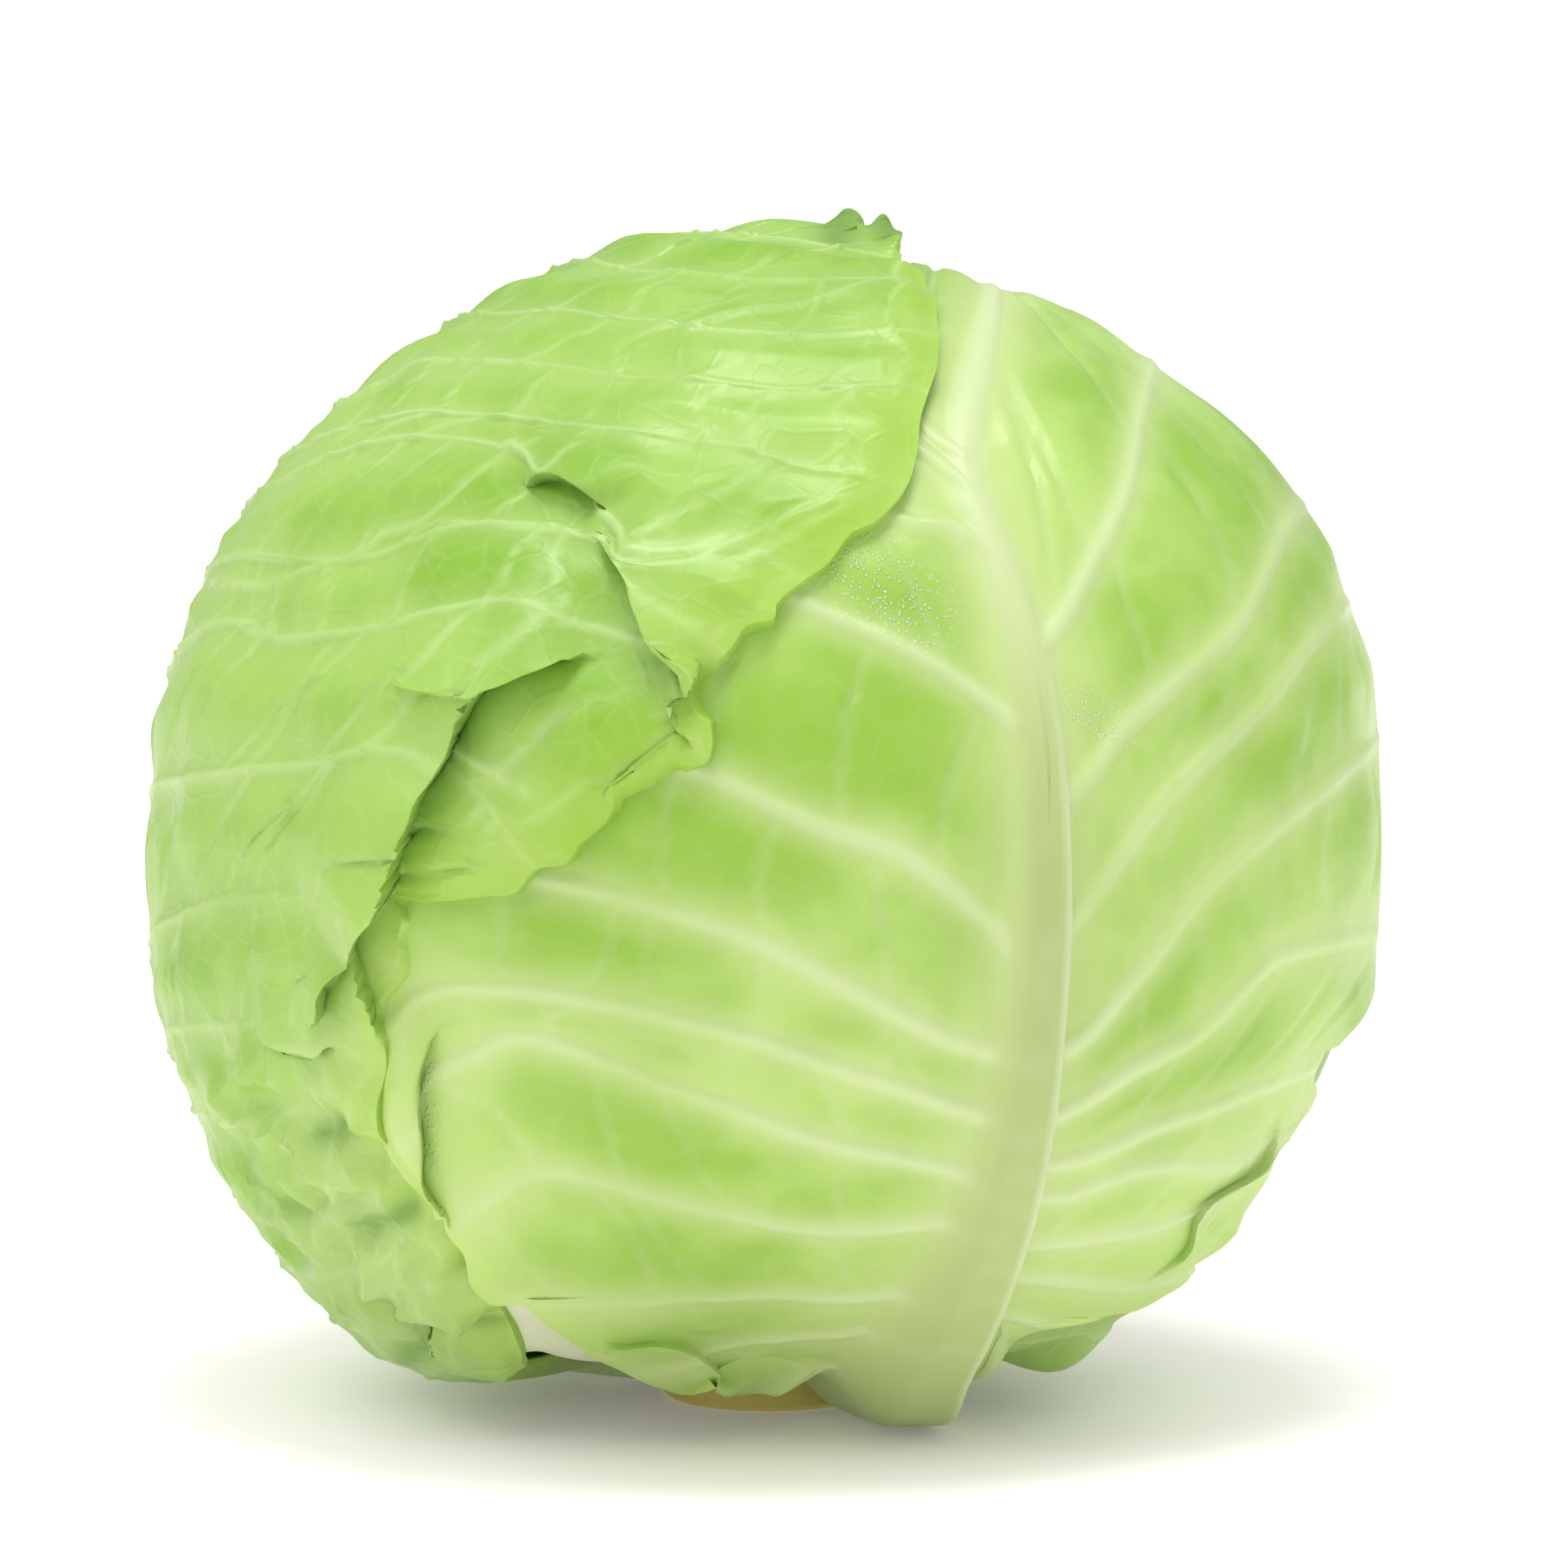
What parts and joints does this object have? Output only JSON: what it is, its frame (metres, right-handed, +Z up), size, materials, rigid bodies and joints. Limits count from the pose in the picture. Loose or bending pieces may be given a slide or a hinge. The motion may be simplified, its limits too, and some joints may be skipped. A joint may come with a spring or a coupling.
{
  "type": "cabbage head",
  "caption": "Round white cabbage head, trimmed, with wrapper leaves closed over a packed heart and a level cut stalk.",
  "frame": {"origin": "centre of the stalk's cut face, on the ground the head stands on", "axes": "+Z up along the stalk, -Y towards the front with the broad pale rib, +X to the right as seen from the front"},
  "size_m": [0.1823, 0.1742, 0.1759],
  "materials": {
    "outer_leaf": "waxy, satin",
    "front_leaf": "waxy, satin",
    "pale_leaf": "waxy, satin",
    "stalk": "dry cut, matte"
  },
  "bodies": {
    "root": {"stalk": "stalk", "heart": "pale_leaf", "inner_leaf": "pale_leaf", "back_leaf": "outer_leaf", "front_leaf": "front_leaf", "left_leaf": "outer_leaf"}
  },
  "joints": []
}
